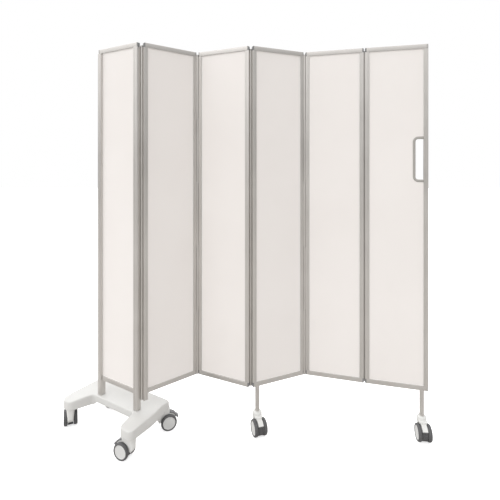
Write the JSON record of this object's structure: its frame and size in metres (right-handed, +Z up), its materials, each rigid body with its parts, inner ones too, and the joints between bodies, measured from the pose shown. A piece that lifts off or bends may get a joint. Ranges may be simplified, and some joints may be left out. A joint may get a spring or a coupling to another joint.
{
  "type": "folding privacy screen on wheels",
  "caption": "Folding ward screen of rigid boards in slim metal frames, hinged in a zigzag, with a moulded caster base under one end and caster legs under the rest.",
  "frame": {"origin": "middle of the underside of the bounding box, on the floor that the wheels stand on", "axes": "+Z up; +X to the right along the row of panels; +Y away from the front, so the camera side is -Y"},
  "size_m": [1.5798, 0.4208, 1.65],
  "materials": {
    "frame_aluminium": "satin anodised",
    "pin_steel": "drawn, bright",
    "board_laminate": "satin laminate",
    "rim_grey": "satin",
    "moulded_white": "fine-grained moulding",
    "wheel_grey": "satin",
    "pedal_grey": "satin"
  },
  "bodies": {
    "screen_base": {"panel_1_left_post": "frame_aluminium", "panel_1_right_post": "frame_aluminium", "panel_1_top_rail": "frame_aluminium", "panel_1_bottom_rail": "frame_aluminium", "panel_1_board": "board_laminate", "hinge_1_pin": "pin_steel", "base": "moulded_white"},
    "base_front_left_swivel": {"base_front_left_caster_housing": "moulded_white"},
    "base_front_left_wheel_left": {"base_front_left_wheel_left": "wheel_grey"},
    "base_front_left_wheel_right": {"base_front_left_wheel_right": "wheel_grey"},
    "base_front_right_swivel": {"base_front_right_caster_housing": "moulded_white"},
    "base_front_right_wheel_left": {"base_front_right_wheel_left": "wheel_grey"},
    "base_front_right_wheel_right": {"base_front_right_wheel_right": "wheel_grey"},
    "base_front_right_pedal": {"base_front_right_brake_pedal": "pedal_grey"},
    "base_rear_left_swivel": {"base_rear_left_caster_housing": "moulded_white"},
    "base_rear_left_wheel_left": {"base_rear_left_wheel_left": "wheel_grey"},
    "base_rear_left_wheel_right": {"base_rear_left_wheel_right": "wheel_grey"},
    "base_rear_right_swivel": {"base_rear_right_caster_housing": "moulded_white"},
    "base_rear_right_wheel_left": {"base_rear_right_wheel_left": "wheel_grey"},
    "base_rear_right_wheel_right": {"base_rear_right_wheel_right": "wheel_grey"},
    "base_rear_right_pedal": {"base_rear_right_brake_pedal": "pedal_grey"},
    "panel_2": {"panel_2_left_stile": "frame_aluminium", "panel_2_right_stile": "frame_aluminium", "panel_2_top_rail": "frame_aluminium", "panel_2_bottom_rail": "frame_aluminium", "panel_2_board": "board_laminate", "hinge_2_pin": "pin_steel"},
    "panel_3": {"panel_3_left_stile": "frame_aluminium", "panel_3_right_stile": "frame_aluminium", "panel_3_top_rail": "frame_aluminium", "panel_3_bottom_rail": "frame_aluminium", "panel_3_board": "board_laminate", "hinge_3_pin": "pin_steel"},
    "panel_4": {"panel_4_left_stile": "frame_aluminium", "panel_4_right_stile": "frame_aluminium", "panel_4_top_rail": "frame_aluminium", "panel_4_bottom_rail": "frame_aluminium", "panel_4_board": "board_laminate", "hinge_4_pin": "pin_steel", "middle_leg_tube": "frame_aluminium"},
    "middle_leg_swivel": {"middle_leg_caster_housing": "moulded_white"},
    "middle_leg_wheel_left": {"middle_leg_wheel_left": "wheel_grey"},
    "middle_leg_wheel_right": {"middle_leg_wheel_right": "wheel_grey"},
    "panel_5": {"panel_5_left_stile": "frame_aluminium", "panel_5_right_stile": "frame_aluminium", "panel_5_top_rail": "frame_aluminium", "panel_5_bottom_rail": "frame_aluminium", "panel_5_board": "board_laminate", "hinge_5_pin": "pin_steel"},
    "panel_6": {"panel_6_left_stile": "frame_aluminium", "panel_6_right_stile": "frame_aluminium", "panel_6_top_rail": "frame_aluminium", "panel_6_bottom_rail": "frame_aluminium", "panel_6_board": "board_laminate", "handle_slot_rim": "rim_grey", "end_leg_tube": "frame_aluminium"},
    "end_leg_swivel": {"end_leg_caster_housing": "moulded_white"},
    "end_leg_wheel_left": {"end_leg_wheel_left": "wheel_grey"},
    "end_leg_wheel_right": {"end_leg_wheel_right": "wheel_grey"}
  },
  "joints": [
    {"name": "hinge_1", "type": "hinge", "parent": "screen_base", "child": "panel_2", "pos_m": [-0.4093, -0.07558, 0], "axis": [0, 0, 1], "range_deg": [-70.2, 99.8]},
    {"name": "hinge_2", "type": "hinge", "parent": "panel_2", "child": "panel_3", "pos_m": [-0.19782, 0.07482, 0], "axis": [0, 0, -1], "range_deg": [-64.7, 80.3]},
    {"name": "hinge_3", "type": "hinge", "parent": "panel_3", "child": "panel_4", "pos_m": [0.04258, -0.0229, 0], "axis": [0, 0, 1], "range_deg": [-50.2, 119.8]},
    {"name": "hinge_4", "type": "hinge", "parent": "panel_4", "child": "panel_5", "pos_m": [0.28498, 0.06977, 0], "axis": [0, 0, -1], "range_deg": [-40.4, 129.6]},
    {"name": "hinge_5", "type": "hinge", "parent": "panel_5", "child": "panel_6", "pos_m": [0.53851, 0.01439, 0], "axis": [0, 0, 1], "range_deg": [-1.1, 168.9]},
    {"name": "base_front_left_swivel", "type": "hinge", "parent": "screen_base", "child": "base_front_left_swivel", "pos_m": [-0.74375, 0.01404, 0], "axis": [0, 0, 1], "continuous": true},
    {"name": "base_front_left_wheel_left", "type": "hinge", "parent": "base_front_left_swivel", "child": "base_front_left_wheel_left", "pos_m": [-0.75205, 0.03332, 0.034], "axis": [0.9184, 0.3955, 0], "continuous": true},
    {"name": "base_front_left_wheel_right", "type": "hinge", "parent": "base_front_left_swivel", "child": "base_front_left_wheel_right", "pos_m": [-0.75205, 0.03332, 0.034], "axis": [0.9184, 0.3955, 0], "continuous": true},
    {"name": "base_front_right_swivel", "type": "hinge", "parent": "screen_base", "child": "base_front_right_swivel", "pos_m": [-0.43411, -0.17349, 0], "axis": [0, 0, 1], "continuous": true},
    {"name": "base_front_right_wheel_left", "type": "hinge", "parent": "base_front_right_swivel", "child": "base_front_right_wheel_left", "pos_m": [-0.45341, -0.16522, 0.034], "axis": [0.3939, 0.9191, 0], "continuous": true},
    {"name": "base_front_right_wheel_right", "type": "hinge", "parent": "base_front_right_swivel", "child": "base_front_right_wheel_right", "pos_m": [-0.45341, -0.16522, 0.034], "axis": [0.3939, 0.9191, 0], "continuous": true},
    {"name": "base_front_right_brake", "type": "hinge", "parent": "base_front_right_swivel", "child": "base_front_right_pedal", "pos_m": [-0.46015, -0.16233, 0.07172], "axis": [0.3939, 0.9191, 0], "range_deg": [0, 15]},
    {"name": "base_rear_left_swivel", "type": "hinge", "parent": "screen_base", "child": "base_rear_left_swivel", "pos_m": [-0.63416, 0.18148, 0], "axis": [0, 0, 1], "continuous": true},
    {"name": "base_rear_left_wheel_left", "type": "hinge", "parent": "base_rear_left_swivel", "child": "base_rear_left_wheel_left", "pos_m": [-0.61597, 0.17098, 0.034], "axis": [-0.5, -0.866, 0], "continuous": true},
    {"name": "base_rear_left_wheel_right", "type": "hinge", "parent": "base_rear_left_swivel", "child": "base_rear_left_wheel_right", "pos_m": [-0.61597, 0.17098, 0.034], "axis": [-0.5, -0.866, 0], "continuous": true},
    {"name": "base_rear_right_swivel", "type": "hinge", "parent": "screen_base", "child": "base_rear_right_swivel", "pos_m": [-0.33649, 0.00121, 0], "axis": [0, 0, 1], "continuous": true},
    {"name": "base_rear_right_wheel_left", "type": "hinge", "parent": "base_rear_right_swivel", "child": "base_rear_right_wheel_left", "pos_m": [-0.31692, 0.00884, 0.034], "axis": [0.3633, -0.9317, 0], "continuous": true},
    {"name": "base_rear_right_wheel_right", "type": "hinge", "parent": "base_rear_right_swivel", "child": "base_rear_right_wheel_right", "pos_m": [-0.31692, 0.00884, 0.034], "axis": [0.3633, -0.9317, 0], "continuous": true},
    {"name": "base_rear_right_brake", "type": "hinge", "parent": "base_rear_right_swivel", "child": "base_rear_right_pedal", "pos_m": [-0.31009, 0.0115, 0.07172], "axis": [0.3633, -0.9317, 0], "range_deg": [0, 15]},
    {"name": "middle_leg_swivel", "type": "hinge", "parent": "panel_4", "child": "middle_leg_swivel", "pos_m": [0.07051, -0.01907, 0], "axis": [0, 0, 1], "continuous": true},
    {"name": "middle_leg_wheel_left", "type": "hinge", "parent": "middle_leg_swivel", "child": "middle_leg_wheel_left", "pos_m": [0.07735, -0.03893, 0.034], "axis": [-0.9455, -0.3256, 0], "continuous": true},
    {"name": "middle_leg_wheel_right", "type": "hinge", "parent": "middle_leg_swivel", "child": "middle_leg_wheel_right", "pos_m": [0.07735, -0.03893, 0.034], "axis": [-0.9455, -0.3256, 0], "continuous": true},
    {"name": "end_leg_swivel", "type": "hinge", "parent": "panel_6", "child": "end_leg_swivel", "pos_m": [0.76074, -0.0527, 0], "axis": [0, 0, 1], "continuous": true},
    {"name": "end_leg_wheel_left", "type": "hinge", "parent": "end_leg_swivel", "child": "end_leg_wheel_left", "pos_m": [0.75877, -0.07361, 0.034], "axis": [-0.9956, 0.0941, 0], "continuous": true},
    {"name": "end_leg_wheel_right", "type": "hinge", "parent": "end_leg_swivel", "child": "end_leg_wheel_right", "pos_m": [0.75877, -0.07361, 0.034], "axis": [-0.9956, 0.0941, 0], "continuous": true}
  ]
}
